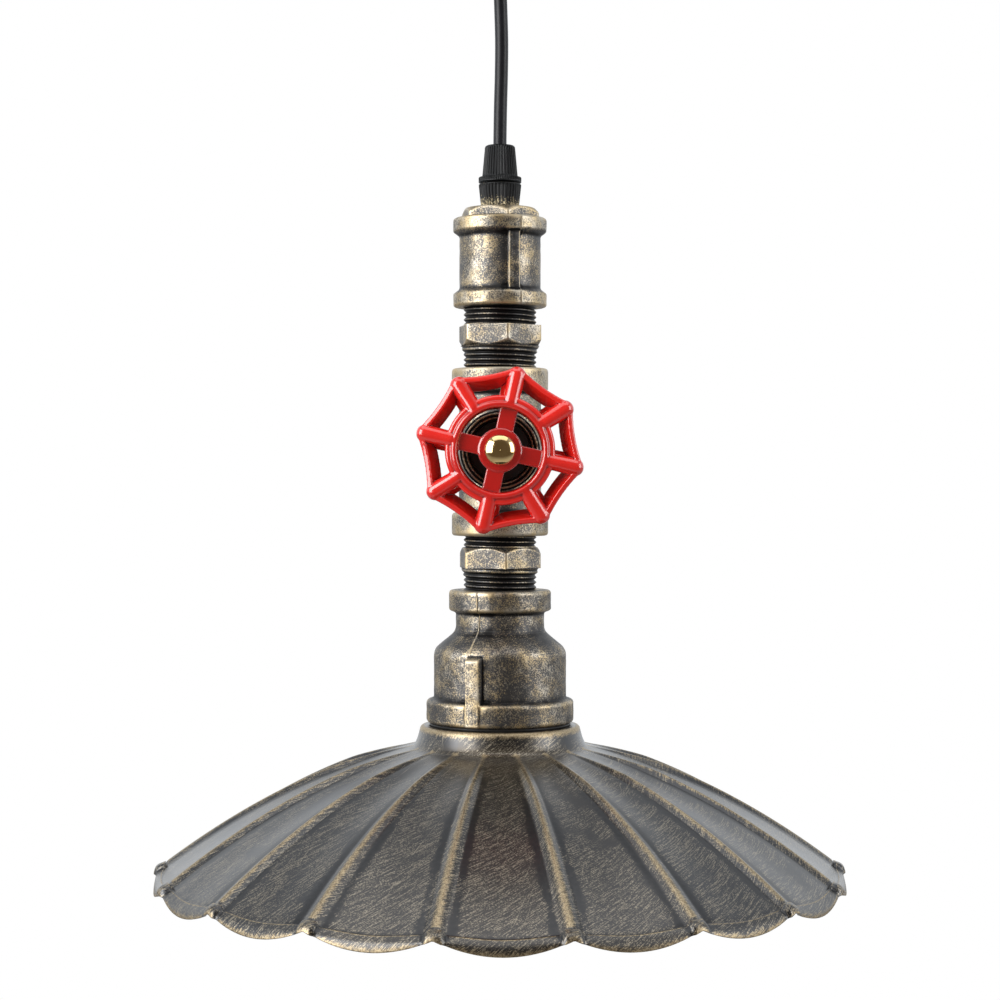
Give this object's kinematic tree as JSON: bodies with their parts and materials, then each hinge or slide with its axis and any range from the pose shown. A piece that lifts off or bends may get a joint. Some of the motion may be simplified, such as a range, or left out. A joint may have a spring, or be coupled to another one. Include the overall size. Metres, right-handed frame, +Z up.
{
  "type": "pipe pendant light",
  "caption": "Hanging lamp built from bronze pipe fittings under a ceiling rose and cord, with a ribbed umbrella shade and a red valve wheel that turns its switch.",
  "frame": {"origin": "centre of the two ceiling slots, on the top face of the mounting strap, where it meets the ceiling", "axes": "+Z up into the ceiling, -Z down the cord and the pipe, -Y towards the valve wheel, +X to its right"},
  "size_m": [0.25, 0.248, 0.365],
  "materials": {
    "zinc_steel": "zinc plated",
    "rose_bronze": "dark brushed bronze paint on pressed steel",
    "antique_bronze": "rough casting, black with rubbed brass high spots",
    "shade_bronze": "black paint dry-brushed with gold",
    "red_enamel": "thick gloss enamel",
    "polished_brass": "polished",
    "brass": "satin",
    "black_plastic": "satin moulded",
    "black_phenolic": "satin moulded",
    "white_nylon": "moulded",
    "ceramic": "glazed ceramic",
    "black_cord": "smooth PVC sheath",
    "brown_lead": "PVC insulation",
    "blue_lead": "PVC insulation"
  },
  "bodies": {
    "ceiling": {"mounting_strap": "zinc_steel", "ceiling_rose": "rose_bronze", "rose_screws": "brass", "terminal_block": "white_nylon", "rose_grip_base": "black_plastic", "rose_grip_cap": "black_plastic", "rose_locknut": "zinc_steel", "cord_tail": "black_cord"},
    "lamp": {"pendant_cord": "black_cord", "cord_grip_cap": "black_plastic", "grip_collet": "white_nylon", "cord_grip_base": "black_plastic", "grip_locknut": "zinc_steel", "top_plug": "antique_bronze", "coupling": "antique_bronze", "upper_nipple": "antique_bronze", "tee": "antique_bronze", "gland_bush": "antique_bronze", "switch_body": "black_plastic", "lower_nipple": "antique_bronze", "reducer": "antique_bronze", "holder_nipple": "zinc_steel", "holder_locknut": "zinc_steel", "lampholder": "black_phenolic", "contact_base": "ceramic", "screw_shell": "brass", "centre_contact": "brass", "upper_shade_ring": "black_phenolic", "shade": "shade_bronze", "lower_shade_ring": "black_phenolic", "live_lead": "brown_lead", "neutral_lead": "blue_lead"},
    "wheel": {"stem": "brass", "switch_rotor": "white_nylon", "handwheel": "red_enamel", "wheel_washer": "zinc_steel", "cap_nut": "polished_brass"}
  },
  "joints": [
    {"name": "pendant_swing", "type": "hinge", "parent": "ceiling", "child": "lamp", "pos_m": [0, 0, -0.04], "axis": [0, 1, 0], "range_deg": [-15, 15]},
    {"name": "wheel_turn", "type": "hinge", "parent": "lamp", "child": "wheel", "pos_m": [0, -0.041, -0.209], "axis": [0, -1, 0], "continuous": true}
  ]
}
